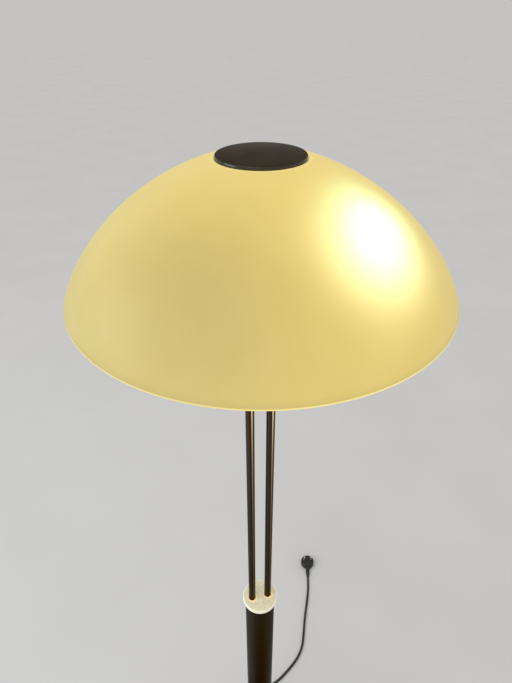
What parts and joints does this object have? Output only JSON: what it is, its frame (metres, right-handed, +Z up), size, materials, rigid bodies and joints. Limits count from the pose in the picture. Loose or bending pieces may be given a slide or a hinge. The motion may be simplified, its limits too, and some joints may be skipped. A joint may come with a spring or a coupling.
{
  "type": "floor lamp",
  "caption": "Floor lamp with a domed opal shade on twin steel rods that slide in a tubular stem on a round weighted foot.",
  "frame": {"origin": "centre of the foot's underside, on the floor", "axes": "+Z up along the stem, +X along the pair of rods and along the bulb"},
  "size_m": [0.5138, 0.6406, 1.3664],
  "materials": {
    "shade_acrylic": "opal acrylic, smooth, glows when lit",
    "cap_dark": "glossy dark brown",
    "rod_steel": "polished steel",
    "tube_steel": "dark polished steel",
    "zinc_steel": "zinc plated",
    "foot_iron": "black painted casting",
    "black_rubber": "matt",
    "cream_plastic": "moulded, slightly mottled",
    "black_plastic": "moulded",
    "cord_black": "smooth flexible sheath",
    "lead_white": "smooth flexible sheath",
    "holder_plastic": "moulded, white",
    "brass": "bright",
    "pin_nickel": "nickel plated",
    "bulb_aluminium": "bright",
    "bulb_glass": "opal glass, lit"
  },
  "bodies": {
    "base": {"foot_pads": "black_rubber", "foot_weight": "foot_iron", "foot_cover": "tube_steel", "stem_plug": "zinc_steel", "stem_screws": "zinc_steel", "stem_rosette": "tube_steel", "stem_tube": "tube_steel", "collar": "cream_plastic", "collar_screw": "zinc_steel", "lead_lower": "lead_white", "lead_spiral": "lead_white", "strain_relief": "black_rubber", "cord_exit": "cord_black", "cord_coil": "cord_black", "cord_free": "cord_black", "mains_plug": "black_plastic", "mains_plug_pins": "pin_nickel"},
    "head": {"rod_left": "rod_steel", "rod_right": "rod_steel", "slide_bush": "black_plastic", "bridge": "zinc_steel", "grub_screws": "zinc_steel", "head_stud": "zinc_steel", "stud_washer": "zinc_steel", "stud_nut": "zinc_steel", "carrier_spacer": "zinc_steel", "shade_carrier": "zinc_steel", "shade_washer": "black_rubber", "holder_bracket": "zinc_steel", "bracket_screw": "zinc_steel", "holder_screws": "zinc_steel", "holder_base": "holder_plastic", "holder_shell": "holder_plastic", "thread_sleeve": "brass", "centre_contact": "brass", "terminal_block": "holder_plastic", "lead_upper": "lead_white", "head_lead": "lead_white"},
    "shade": {"shade": "shade_acrylic"},
    "cap": {"cap": "cap_dark", "cap_insert": "brass"},
    "bulb": {"bulb_globe": "bulb_glass", "bulb_cap": "bulb_aluminium", "bulb_contact": "brass"},
    "switch": {"push_switch": "black_plastic"}
  },
  "joints": [
    {"name": "height_slide", "type": "slide", "parent": "base", "child": "head", "axis": [0, 0, 1], "range_m": [-0.49, 0.045], "deforming": ["lead_spiral"]},
    {"name": "shade_turn", "type": "hinge", "parent": "head", "child": "shade", "pos_m": [0, 0, 1.3578], "axis": [0, 0, 1], "continuous": true},
    {"name": "cap_turn", "type": "hinge", "parent": "head", "child": "cap", "pos_m": [0, 0, 1.3608], "axis": [0, 0, 1], "continuous": true},
    {"name": "bulb_turn", "type": "hinge", "parent": "head", "child": "bulb", "pos_m": [0.06, 0, 1.29], "axis": [1, 0, 0], "continuous": true},
    {"name": "switch_push", "type": "slide", "parent": "head", "child": "switch", "axis": [0, 1, 0], "range_m": [0, 0.006]}
  ]
}
